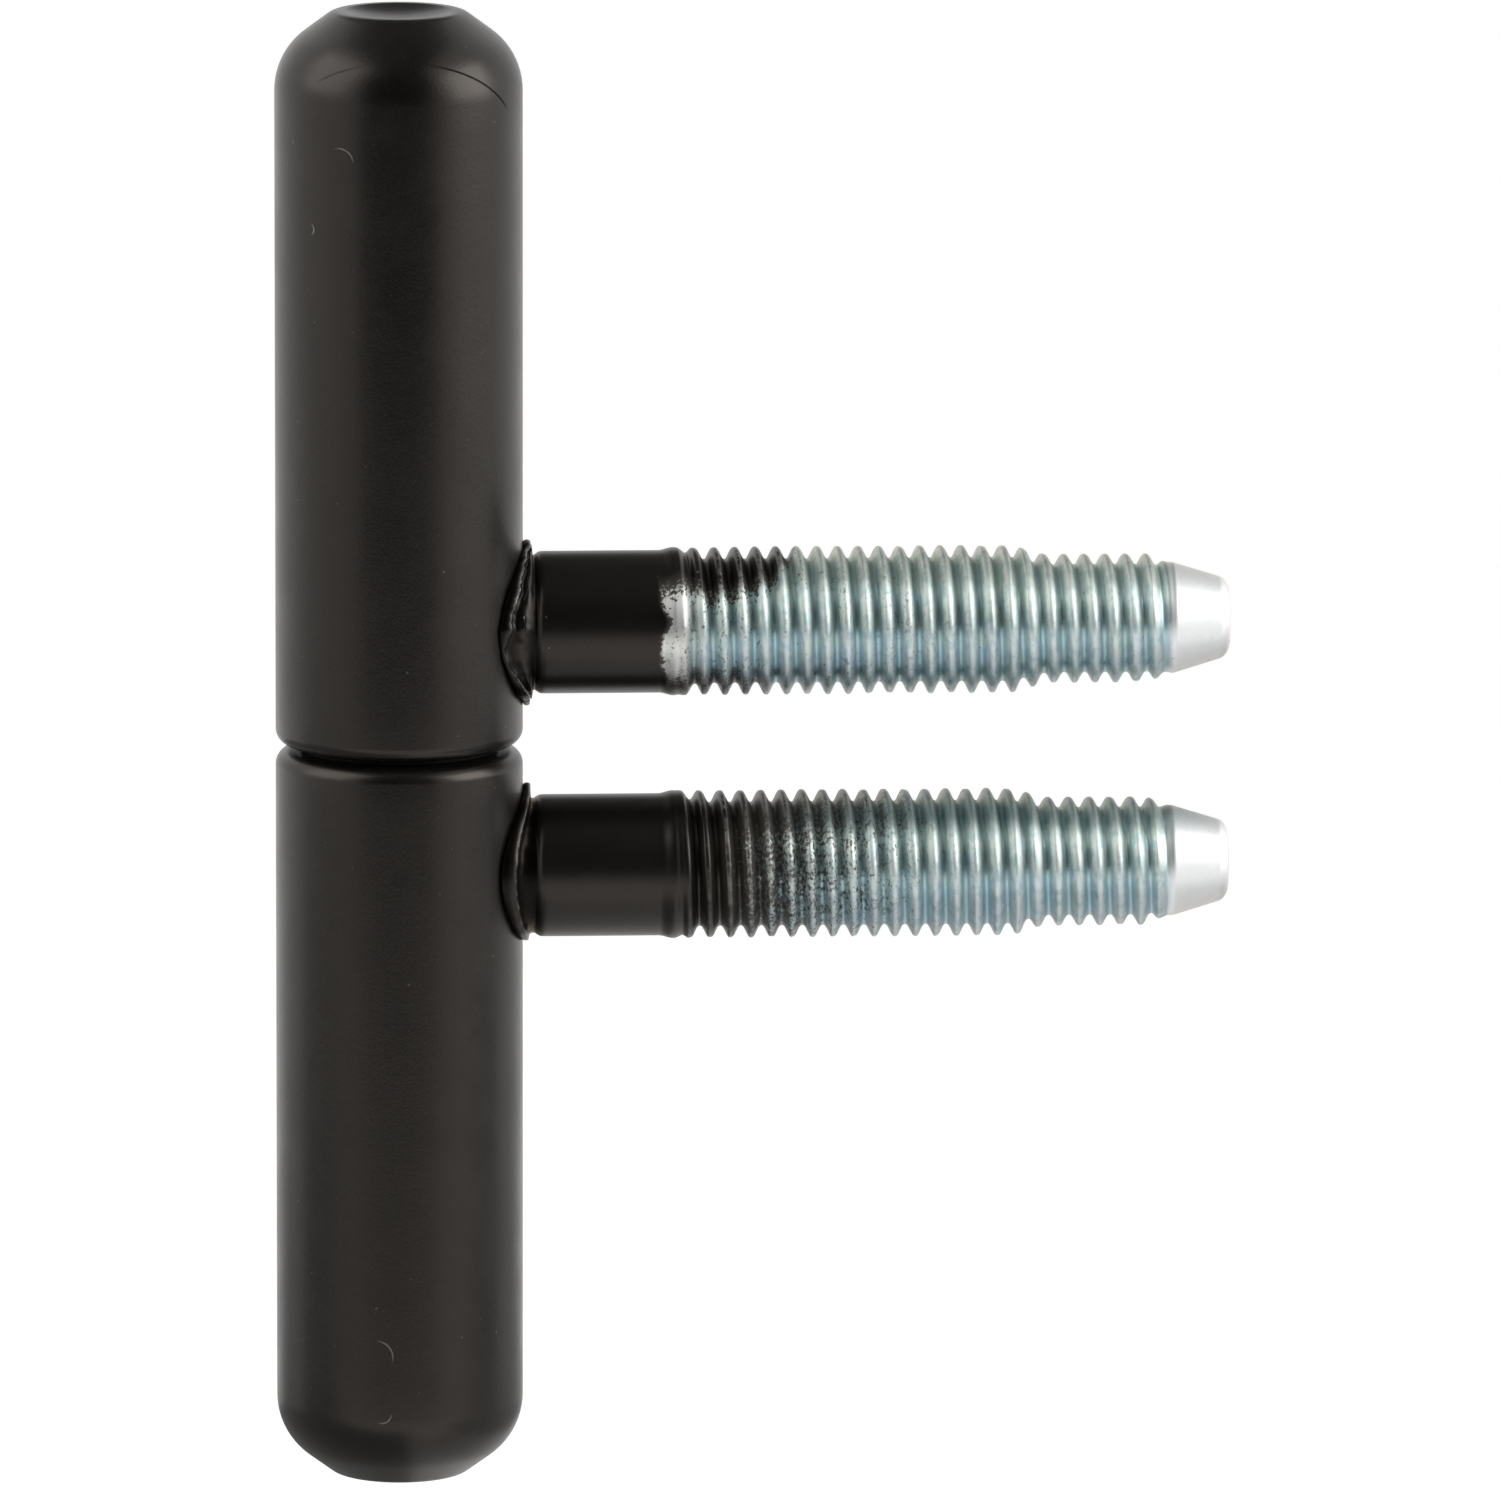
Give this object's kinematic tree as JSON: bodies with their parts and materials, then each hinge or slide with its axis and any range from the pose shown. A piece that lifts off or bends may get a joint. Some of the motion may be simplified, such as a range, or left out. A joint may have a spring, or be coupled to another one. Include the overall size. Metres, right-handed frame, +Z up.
{
  "type": "drill-in window hinge",
  "caption": "Drill-in window hinge: black round barrels stacked on a hinge pin, each with a threaded zinc-plated stud welded to its side for screwing into frame and sash.",
  "frame": {"origin": "on the lower (frame) stud's axis, at the middle of its first thread crest", "axes": "+X along the studs from the barrels to the stud tips, +Z up the hinge axis from the lower barrel to the upper one"},
  "size_m": [0.0579, 0.015, 0.09],
  "materials": {
    "black_coat": "satin black powder coat",
    "zinc_plate": "bright bluish zinc plate, black overspray towards the shank",
    "pin_steel": "ground steel, lightly greased",
    "washer_plastic": "matte black"
  },
  "bodies": {
    "lower_leaf": {"lower_barrel": "black_coat", "lower_stud": "zinc_plate", "hinge_pin": "pin_steel"},
    "washer": {"thrust_washer": "washer_plastic"},
    "upper_leaf": {"upper_barrel": "black_coat", "upper_stud": "zinc_plate"}
  },
  "joints": [
    {"name": "swing", "type": "hinge", "parent": "lower_leaf", "child": "washer", "pos_m": [-0.01762, 0, 0.0075], "axis": [0, 0, 1], "continuous": true},
    {"name": "lift", "type": "slide", "parent": "washer", "child": "upper_leaf", "axis": [0, 0, 1], "range_m": [0, 0.032]}
  ]
}
